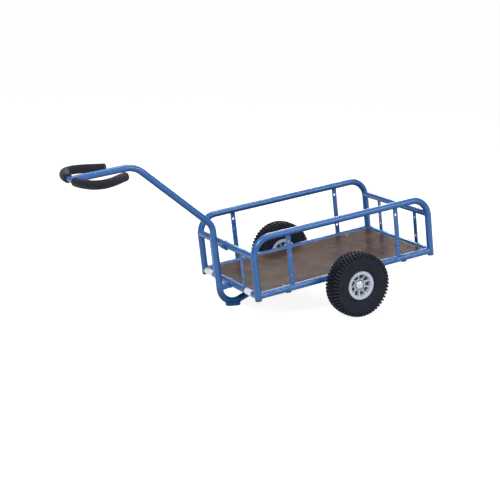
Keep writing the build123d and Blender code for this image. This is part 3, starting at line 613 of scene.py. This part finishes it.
def tyre(side, name):
    pitch = 2 * math.pi / LUGS
    parts = []
    # carcass: crown at groove depth, sidewall with mould rings, bead, inside
    prof = []
    S_ROW = np.linspace(-S_END, S_END, 57)
    for s in S_ROW:
        w, r = crown(float(s), groove(float(s)))
        prof.append((w, r))
    wall = [(41.9, 98.6), (42.1, 97.2), (42.3, 94.6), (42.4, 90.0), (42.1, 85.0), (41.5, 80.5), (41.9, 79.6),
            (41.8, 78.2), (41.0, 77.4), (39.9, 73.4), (38.3, 70.0), (36.2, 66.8), (33.4, 63.6), (31.6, 62.2),
            (31.9, 61.2), (31.0, 60.2), (28.4, 59.0), (26.6, 58.2), (26.1, 56.6), (26.1, 51.2)]
    inside = [(17.5, 51.0), (17.5, 54.0), (19.5, 60.0), (24.5, 65.0), (31.0, 71.5), (34.8, 80.0), (36.0, 91.0),
              (34.2, 103.0), (29.6, 111.8), (22.0, 117.6), (12.0, 120.6), (0, 121.6)]
    outer = prof + wall
    loop = outer + inside
    loop = loop + [(-w, r) for w, r in inside[-2::-1]] + [(-w, r) for w, r in wall[::-1]]
    seg = LUGS * 4
    verts, faces = [], []
    L = len(loop)
    for k in range(seg):
        a = 2 * math.pi * k / seg
        for w, r in loop:
            verts.append(wheel_point(side, w, r, a))
    for k in range(seg):
        q = (k + 1) % seg
        for i in range(L):
            j = (i + 1) % L
            faces.append((k * L + i, k * L + j, q * L + j, q * L + i))
    parts.append((verts, faces))
    # staggered tread blocks: two slanted rows each side of the middle groove, two shoulder rows
    for n in range(LUGS):
        a = n * pitch
        for g in (-1, 1):
            parts.append(tread_block(side, a + (0.25 + g * 0.25) * pitch, pitch,
                                     [(g * 1.6, -0.30), (g * 1.6, 0.34), (g * 18.8, 0.34 + g * 0.22), (g * 18.8, -0.30 + g * 0.22)],
                                     3, 1))
            parts.append(tread_block(side, a + (0.12 if g > 0 else -0.12) * pitch, pitch,
                                     [(g * 24.4, -0.28), (g * 24.4, 0.28), (g * S_LUG, 0.24), (g * S_LUG, -0.24)],
                                     6, 1, depth=GROOVE))
    v, f = merge(parts)
    o = make(name, v, f, "tyre", name.split("_")[0] + "_wheel", sharp=38)
    # painted shade: the sunk base of the tread gets a darker copy of the rubber
    o.data.materials.append(M["tyre_groove"])
    L, top = len(loop), len(prof)
    for q in o.data.polygons:
        i = [v for v in q.vertices]
        if max(i) < seg * L and all(2 < v % L < top - 3 and abs(S_ROW[v % L]) < S_LUG - 1.5 for v in i):
            q.material_index = 1
    return o


# --------------------------------------------------------------------- rim ---
def smooth(x):
    x = np.clip(x, 0.0, 1.0)
    return x * x * x * (x * (6 * x - 15) + 10)


RIB_ANGLE = math.radians(26.0)


def rim_front(r, a, outer):
    """Outboard height of the moulded face at radius r and angle a (arrays)."""
    lip = 30.2
    # turned surface without pockets
    prof_r = [0.0, 13.5, 21.6, 22.3, 24.4, 25.6, 42.2, 44.2, 46.9, 47.6, 55.9, 57.0, 57.7]
    if outer:
        prof_w = [12.8, 12.8, 12.8, 18.7, 19.0, 18.2, 27.4, 29.1, 29.4, 30.1, 30.1, 29.6, 27.6]
    else:
        prof_r = [0.0, 13.5, 14.2, 19.2, 20.0, 20.7, 42.2, 44.2, 46.9, 47.6, 55.9, 57.0, 57.7]
        prof_w = [40.6, 40.6, 41.1, 41.1, 40.4, 18.0, 27.0, 29.1, 29.4, 30.1, 30.1, 29.6, 27.6]
    base = np.interp(r, prof_r, prof_w)
    # pockets between ribs
    step = 2 * math.pi / 9
    k = np.round((a - RIB_ANGLE) / step)
    da = a - RIB_ANGLE - k * step
    side_d = np.abs(r * np.sin(da)) - 2.05          # distance from the rib's flank
    inner_r = 25.7 if outer else 21.6
    rad_in, rad_out = r - inner_r, 43.9 - r
    # rounded pocket corners: smooth minimum of the distances
    q = 1.8
    d = -np.log(np.exp(-side_d / q * 2.2) + np.exp(-rad_in / q * 2.2) + np.exp(-rad_out / q * 2.2)) * q / 2.2
    floor = 4.3
    # screw bosses on the pocket floor
    for j in range(3):
        ang = math.radians(46.0 + 120 * j)
        dx, dy = r * np.cos(a) - 35 * math.cos(ang), r * np.sin(a) - 35 * math.sin(ang)
        rr = np.hypot(dx, dy)
        top = 7.0 if outer else 5.2
        floor = np.maximum(floor, 4.3 + (top - 4.3) * (1 - smooth((rr - 5.4) / 1.6)))
        floor = np.where(rr < 3.6, np.minimum(floor, 4.3 + (top - 4.3) * smooth((rr - 2.9) / 0.6)), floor)
    depth = smooth((d + 0.25) / 1.5)
    return base * (1 - depth) + floor * depth


def rim(side, outer, name):
    radii = np.unique(np.round(np.r_[13.6, 14.1, np.linspace(15, 19, 3), 19.6, 20.0, 20.35, 20.7, 21.2, 21.6, 21.95, 22.3, 22.9, 23.7, 24.4,
                                     np.linspace(25.0, 29.2, 15), np.linspace(30.2, 40.4, 13), np.linspace(41.0, 44.4, 13),
                                     45.2, 46.1, 46.9, 47.15, 47.4, 47.7, 49, 51, 53, 55, 55.9, 56.5, 57.0, 57.4, 57.7], 3))
    per = 44
    # angular samples, evenly spaced round the rim
    base = np.linspace(0, 1, per, endpoint=False)
    seg = 9 * per
    ang = RIB_ANGLE + (np.arange(seg) / per) * 2 * math.pi / 9
    s = 1 if outer else -1
    verts, faces = [], []
    R = len(radii)
    for a in ang:
        h = rim_front(radii, np.full(R, a), outer)
        for r, w in zip(radii, h):
            verts.append(wheel_point(side, s * w, r, a))
    back = [(26.2, 57.7), (25.9, 57.2), (25.9, 51.4), (25.4, 50.5), (0.05, 50.4), (0.05, 13.6)]
    B = len(back)
    for a in ang:
        for w, r in back:
            verts.append(wheel_point(side, s * w, r, a))
    off = seg * R
    for k in range(seg):
        q = (k + 1) % seg
        for i in range(R - 1):
            faces.append((k * R + i, k * R + i + 1, q * R + i + 1, q * R + i))
        faces.append((k * R + R - 1, off + k * B, off + q * B, q * R + R - 1))
        for i in range(B - 1):
            faces.append((off + k * B + i, off + k * B + i + 1, off + q * B + i + 1, off + q * B + i))
        faces.append((off + k * B + B - 1, k * R, q * R, off + q * B + B - 1))
    return make(name, verts, faces, "rim", name.split("_")[0] + "_wheel", sharp=50)


for side, sd in ((-1, "left"), (1, "right")):
    t = tyre(side, sd + "_treaded_tyre")
    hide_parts(sd + "_tyre")
    a = rim(side, True, sd + "_rim_face")
    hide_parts(sd + "_rim_outer")
    b = rim(side, False, sd + "_rim_back")
    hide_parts(sd + "_rim_inner")


# ------------------------------------------------------------------- grips ---
BOW_X, HANDLE_Z, BOW_FLAT, BOW_TAIL = -1001.0, 547.6, 40.7, 54.0
BOW_ARCS = ((224.0, 27.4), (47.5, 85.9), (213.6, 13.6))
BOW_DROP = math.radians(2.0)


def bow_P(x, y):
    u = x - BOW_X
    return P(BOW_X + u * math.cos(BOW_DROP), y, HANDLE_Z - u * math.sin(BOW_DROP))


def bow_axis(y0, step=2.0):
    """Points of the bow's axis from y0 outwards, as (x, y), 2 mm apart."""
    pts = []
    y = y0
    while y < BOW_FLAT - 1e-6:
        pts.append((BOW_X, y))
        y += step
    x, y, h = BOW_X, BOW_FLAT, 0.0
    for r, a in BOW_ARCS:
        if y0 > y and h == 0.0:
            # the sleeve starts inside the first bend
            g = math.degrees(math.asin((y0 - y) / r))
            x, y, h, a = x + r * (1 - math.cos(math.radians(g))), y0, g, a - g
        n = max(2, int(r * math.radians(a) / step))
        for k in range(n):
            g = math.radians(h + a * k / n)
            h0 = math.radians(h)
            pts.append((x + r * (math.cos(h0) - math.cos(g)), y + r * (math.sin(g) - math.sin(h0))))
        h0, g = math.radians(h), math.radians(h + a)
        x, y = x + r * (math.cos(h0) - math.cos(g)), y + r * (math.sin(g) - math.sin(h0))
        h += a
    n = int(BOW_TAIL / step)
    for k in range(n + 1):
        d = BOW_TAIL * k / n
        pts.append((x + d * math.sin(math.radians(h)), y + d * math.cos(math.radians(h))))
    return pts


GRIP_START = {-1: 48.0, 1: 26.0}


def grip(side, name):
    axis = bow_axis(GRIP_START[side], 2.0)
    pts = [bow_P(x, side * y) for x, y in axis]
    fr = frames_along(pts)
    seg = 40
    rng = np.random.default_rng(11 + side)
    n = len(pts)
    # slow swell along the sleeve and soft creases inside the tight bend
    swell = np.interp(np.arange(n), np.linspace(0, n - 1, 9), rng.uniform(-0.35, 0.0, 9))
    verts, faces = [], []
    rings = []

    def ring(p, u, v, rad):
        base = len(verts)
        for k in range(seg):
            a = 2 * math.pi * k / seg
            verts.append(p + (u * math.cos(a) + v * math.sin(a)) * (rad[k] if hasattr(rad, "__len__") else rad) / 1000)
        rings.append(base)

    t0, u0, v0 = fr[0]
    # open front end: inner bore, rounded lip
    ring(pts[0] + t0 * 0.012, u0, v0, 11.15)
    ring(pts[0] + t0 * 0.0006, u0, v0, 11.25)
    ring(pts[0] + t0 * 0.0001, u0, v0, 12.4)
    ring(pts[0] - t0 * 0.0000, u0, v0, 15.2)
    ring(pts[0] + t0 * 0.0006, u0, v0, 16.9)
    for i, (p, (t, u, v)) in enumerate(zip(pts, fr)):
        if i < 1:
            continue
        rad = np.full(seg, 17.75 + swell[i])
        c = V(1, 0, 0)
        s_here = i * 2.0
        # creases on the inner side of the tight bend
        if 100 < s_here < 192:
            fade = math.sin(math.pi * (s_here - 100) / 92)
            wave = math.sin(2 * math.pi * s_here / 11.0 + 0.8 * math.sin(s_here * 0.21))
            for k in range(seg):
                a = 2 * math.pi * k / seg
                d = (u * math.cos(a) + v * math.sin(a)).normalized()
                inward = max(0.0, d.dot(Vector((V(0.75, -side * 0.66, 0)))))
                rad[k] -= 0.42 * fade * inward ** 2 * (0.5 + 0.5 * wave)
        ring(p, u, v, rad)
    t1, u1, v1 = fr[-1]
    end = pts[-1]
    for k in range(1, 8):
        g = math.pi / 2 * k / 7
        ring(end + t1 * (0.0006 + 0.0050 * math.sin(g)), u1, v1, 12.7 + 5.0 * math.cos(g))
    ring(end + t1 * 0.0054, u1, v1, 9.0)
    ring(end + t1 * 0.0050, u1, v1, 4.0)
    ring(end + t1 * 0.0049, u1, v1, 1.2)
    for a, b in zip(rings, rings[1:]):
        for k in range(seg):
            m = (k + 1) % seg
            faces.append((a + k, a + m, b + m, b + k))
    faces.append(tuple(rings[-1] + k for k in range(seg)))
    # inside: bore face deep in the sleeve
    faces.append(tuple(rings[0] + k for k in range(seg))[::-1])
    o = make(name, verts, faces, "foam", "frame", sharp=60)
    return o


for side, sd in ((-1, "left"), (1, "right")):
    g = grip(side, sd + "_foam_grip")
    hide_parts(sd + "_grip")


# ------------------------------------------------------------------- welds ---
def bead(points, r=1.9, closed=False, pitch=2.6, seed=0, seg=8):
    """A weld seam: a low ripple along points (metres), r in millimetres."""
    rng = np.random.default_rng(seed)
    # resample at a quarter of the ripple pitch
    pts = [points[0]]
    src = list(points) + ([points[0]] if closed else [])
    d = [0.0]
    for a, b in zip(src, src[1:]):
        d.append(d[-1] + (b - a).length * 1000)
    total = d[-1]
    n = max(6, int(total / (pitch / 4)))
    ts = np.linspace(0, total, n + 1)[: n if closed else n + 1]
    arr = np.array([tuple(p) for p in src])
    out = [Vector([float(np.interp(t, d, arr[:, k])) for k in range(3)]) for t in ts]
    radii = []
    jitter = rng.uniform(-0.10, 0.10, len(out))
    for i, t in enumerate(ts):
        rip = abs(math.sin(math.pi * t / pitch))
        e = 1.0
        if not closed:
            e = min(1.0, 0.35 + min(t, total - t) / 3.0)
        radii.append(r / 1000 * (0.84 + 0.20 * rip + jitter[i]) * e)
    return tube(out, radii, seg, closed)


def meet(o, d, o2, d2, r1, r2, r_at=None, n=72, keep=None):
    """Closed curve where a tube (point o, direction d, radius r1) ends on a tube (o2, d2, r2), in deck mm.
    The ray along d from each point of the first tube's outline is cut with the second."""
    o, d, o2, d2 = [np.array(v, float) for v in (o, d, o2, d2)]
    d /= np.linalg.norm(d); d2 /= np.linalg.norm(d2)
    ref = np.cross(d, d2); ref /= np.linalg.norm(ref)
    u, v = ref, np.cross(d, ref)
    pts = []
    for k in range(n):
        a = 2 * math.pi * k / n
        off = u * math.cos(a) * r1 + v * math.sin(a) * r1
        q = o + off - o2
        # |(q + t d) - axis part| = r2
        qp, dp = q - d2 * q.dot(d2), d - d2 * d.dot(d2)
        A, B, C = dp.dot(dp), 2 * qp.dot(dp), qp.dot(qp) - r2 * r2
        disc = max(B * B - 4 * A * C, 0.0)
        t = (-B - math.sqrt(disc)) / (2 * A)
        p = o + off + d * t
        pts.append(p)
    return pts


def to_row(pts):
    return [P(*p) for p in pts]


beads = {"leg_welds": [], "post_welds": [], "drawbar_welds": [], "underframe_welds": []}
seed = 0
for sx in (-1, 1):
    for sy in (-1, 1):
        leg = ((sx * LEG_X, sy * LEG_Y, 0), (0, 0, 1))
        # bottom rail to leg, end beam to leg, end top rail to leg
        for o, d, z in (((0, sy * LEG_Y, 0), (sx, 0, 0), 0), ((sx * LEG_X, 0, 0), (0, sy, 0), 0),
                        ((sx * LEG_X, 0, END_TOP), (0, sy, 0), END_TOP)):
            seed += 1
            curve = meet(o, d, leg[0], leg[1], TUBE_R + 0.2, TUBE_R + 0.2)
            pts = [p for p in curve]
            if z == 0:
                # only the part outside the neighbouring tube
                other = 1 if d[0] else 0
                keepers = []
                for p in pts:
                    if d[0]:      # rail along x: neighbour beam along y at x = sx * LEG_X
                        dist = math.hypot(p[0] - sx * LEG_X, p[2])
                    else:
                        dist = math.hypot(p[1] - sy * LEG_Y, p[2])
                    keepers.append(dist > TUBE_R - 0.3)
                if not all(keepers):
                    start = next(i for i in range(len(pts)) if keepers[i] and not keepers[i - 1])
                    seq = []
                    for i in range(len(pts)):
                        j = (start + i) % len(pts)
                        if not keepers[j]:
                            break
                        seq.append(pts[j])
                    if len(seq) > 4:
                        beads["leg_welds"].append(bead(to_row(seq), 1.9, False, seed=seed))
                    continue
            beads["leg_welds"].append(bead(to_row(pts), 1.9, True, seed=seed))


def post_seams(x, y, z, along, half_w, half_t, outward, seed):
    """Two short seams where a flat bar meets a tube, one along each broad face.
    along: deck axis of the tube (0 or 1); outward: +1 the bar leaves upwards, -1 downwards."""
    out = []
    for f in (-1, 1):
        off = f * (half_t + 0.25)
        h = outward * (math.sqrt(TUBE_R ** 2 - off ** 2) + 0.15)
        pts = []
        for k in range(13):
            q = (k / 12 - 0.5) * 2 * (half_w - 0.6)
            p = (x + q, y + off, z + h) if along == 0 else (x + off, y + q, z + h)
            pts.append(p)
        out.append(bead(to_row(pts), 1.7, False, 2.2, seed + f))
    return out


for sx in (-1, 1):
    for sy in (-1, 1):
        seed += 10
        beads["post_welds"] += post_seams(sx * 247.5, sy * LEG_Y, 0, 0, 10, 2, 1, seed)
        beads["post_welds"] += post_seams(sx * 247.5, sy * LEG_Y, SIDE_TOP, 0, 10, 2, -1, seed + 3)
for sx, yy, px in ((-1, 135.0, -406.7), (1, 135.0, 406.7)):
    for sy in (-1, 1):
        seed += 10
        for z, up in ((0, 1), (END_TOP, -1)):
            for f in (-1, 1):
                off = px + f * 2.25
                dx = off - sx * LEG_X
                h = up * (math.sqrt(TUBE_R ** 2 - dx ** 2) + 0.15)
                pts = [(off, sy * yy + (k / 12 - 0.5) * 18.8, z + h) for k in range(13)]
                beads["post_welds"].append(bead(to_row(pts), 1.7, False, 2.2, seed + f + int(z)))

# drawbar to the bow
curve = meet((BOW_X + 200, 0, HANDLE_Z), (-1, 0, 0), (BOW_X, 0, HANDLE_Z), (0, 1, 0), TUBE_R, 11.0)
curve = [p for p in curve if abs(p[2] - HANDLE_Z) < 11.2]
for sgn in (-1, 1):
    arc = sorted([p for p in curve if sgn * p[1] > 0 and p[0] > BOW_X + 1.0], key=lambda p: p[2])
    if len(arc) > 3:
        beads["drawbar_welds"].append(bead(to_row(arc), 2.0, False, seed=500 + sgn))
# lugs to the drawbar's upright
SHAFT_X = -453.4
for z, lo, hi, half in ((END_TOP, 9.8, 14.8, 15.0), (0.0, -19.0, 3.4, 13.0)):
    for sgn in (-1, 1):
        w = min(half, 12.4)
        pts = [(SHAFT_X + math.sqrt(TUBE_R ** 2 - w * w) + 0.3, sgn * w, z + lo + (hi - lo) * k / 10) for k in range(11)]
        beads["drawbar_welds"].append(bead(to_row(pts), 1.6, False, 2.4, seed=520 + sgn + int(z)))
    pts = []
    for k in range(17):
        y = -12.4 + 24.8 * k / 16
        pts.append((SHAFT_X + math.sqrt(TUBE_R ** 2 - y * y) + 0.1, y, z + hi + 0.6))
    beads["drawbar_welds"].append(bead(to_row(pts), 1.5, False, 2.4, seed=540 + int(z)))
# deck strips and axle plates under the bottom rails
for sx in (-1, 1):
    for sy in (-1, 1):
        for f in (-1, 1):
            x = sx * 270.0 + f * 10.2
            pts = []
            for k in range(9):
                g = math.radians(-128 + 30 * k / 8) if sy > 0 else math.radians(-52 - 30 * k / 8)
                pts.append((x, sy * LEG_Y + (TUBE_R + 0.3) * math.cos(g), (TUBE_R + 0.3) * math.sin(g)))
            beads["underframe_welds"].append(bead(to_row(pts), 1.6, False, 2.4, seed=600 + f + sx * 3 + sy * 7))
for sy in (-1, 1):
    for f in (-1, 1):
        pts = []
        for k in range(25):
            x = AXLE_X - 33 + 66 * k / 24
            yy = sy * LEG_Y + f * 4.3
            pts.append((x, yy, -math.sqrt(TUBE_R ** 2 - 4.3 ** 2) - 0.3))
        beads["underframe_welds"].append(bead(to_row(pts), 2.0, False, seed=660 + f + sy * 5))
for name, parts in beads.items():
    v, f = merge(parts)
    make(name, v, f, "weld", "frame")


# ------------------------------------------------------------------- stage ---
def floor_material():
    k = Mat("studio_floor")
    col = k.ramp(k.noise(1.2, 4.0), (0.3, (FLOOR, FLOOR, FLOOR, 1)), (0.7, (FLOOR + 0.01, FLOOR + 0.01, FLOOR + 0.01, 1)))
    k.color(col)
    k.rough(k.span(k.noise(6.0, 3.0), 0.3, 0.7, 0.85, 0.95))
    k.b.inputs["Emission Color"].default_value = (1.0, 1.0, 1.0, 1)
    k.b.inputs["Emission Strength"].default_value = 0.902
    return k.m


FLOOR = 0.24
M["floor"] = floor_material()
n = 96
fv = [Vector((0, 0, -0.0002))] + [Vector((150 * math.cos(2 * math.pi * k / n), 150 * math.sin(2 * math.pi * k / n), -0.0002)) for k in range(n)]
ff = [(0, 1 + k, 1 + (k + 1) % n) for k in range(n)]
me = bpy.data.meshes.new("studio_floor")
me.from_pydata([tuple(v) for v in fv], [], ff)
me.materials.append(M["floor"])
floor = bpy.data.objects.new("studio_floor", me)
scene.collection.objects.link(floor)
floor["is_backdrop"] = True

world = bpy.data.worlds.new("studio")
world.use_nodes = True
bg = world.node_tree.nodes["Background"]
bg.inputs["Color"].default_value = (1.0, 1.0, 1.0, 1)
bg.inputs["Strength"].default_value = 0.28
scene.world = world


def softbox(name, at, target, size, power, color=(1, 1, 1)):
    d = bpy.data.lights.new(name, "AREA")
    d.shape = "RECTANGLE"
    d.size, d.size_y = size
    d.energy = power
    d.color = color
    o = bpy.data.objects.new(name, d)
    o.location = at
    o.rotation_mode = "QUATERNION"
    o.rotation_quaternion = (Vector(target) - Vector(at)).to_track_quat("-Z", "Y")
    scene.collection.objects.link(o)
    return o


softbox("key_softbox", (-2.6, -2.4, 3.4), (0.0, 0.0, 0.25), (1.6, 1.2), 215)
softbox("top_softbox", (0.4, 0.2, 3.4), (0.1, 0.0, 0.2), (2.2, 1.0), 58)
softbox("side_softbox", (2.2, -4.0, 2.5), (0.0, 0.0, 0.25), (2.4, 0.7), 95)
softbox("rear_softbox", (1.8, 3.0, 2.4), (0.2, 0.0, 0.25), (2.0, 1.0), 85)

# camera
cam_data = bpy.data.cameras.new("camera")
cam_data.sensor_width = 36.0
cam_data.lens = 92.757
cam_data.clip_start, cam_data.clip_end = 0.05, 200
cam = bpy.data.objects.new("camera", cam_data)
scene.collection.objects.link(cam)
fwd = V(0.41428079, 0.86503658, -0.28298965).normalized()
upv = V(0.22103403, 0.20599516, 0.95326279)
right = fwd.cross(upv).normalized()
upv = right.cross(fwd).normalized()
rot = Matrix((right, upv, -fwd)).transposed()
cam.matrix_world = Matrix.Translation(P(-2451.608, -4490.913, 1581.317)) @ rot.to_4x4()
scene.camera = cam
scene.view_settings.view_transform = "Standard"
scene.view_settings.look = "None"
scene.view_settings.exposure = 0.0
scene.view_settings.gamma = 1.0

lo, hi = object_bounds()
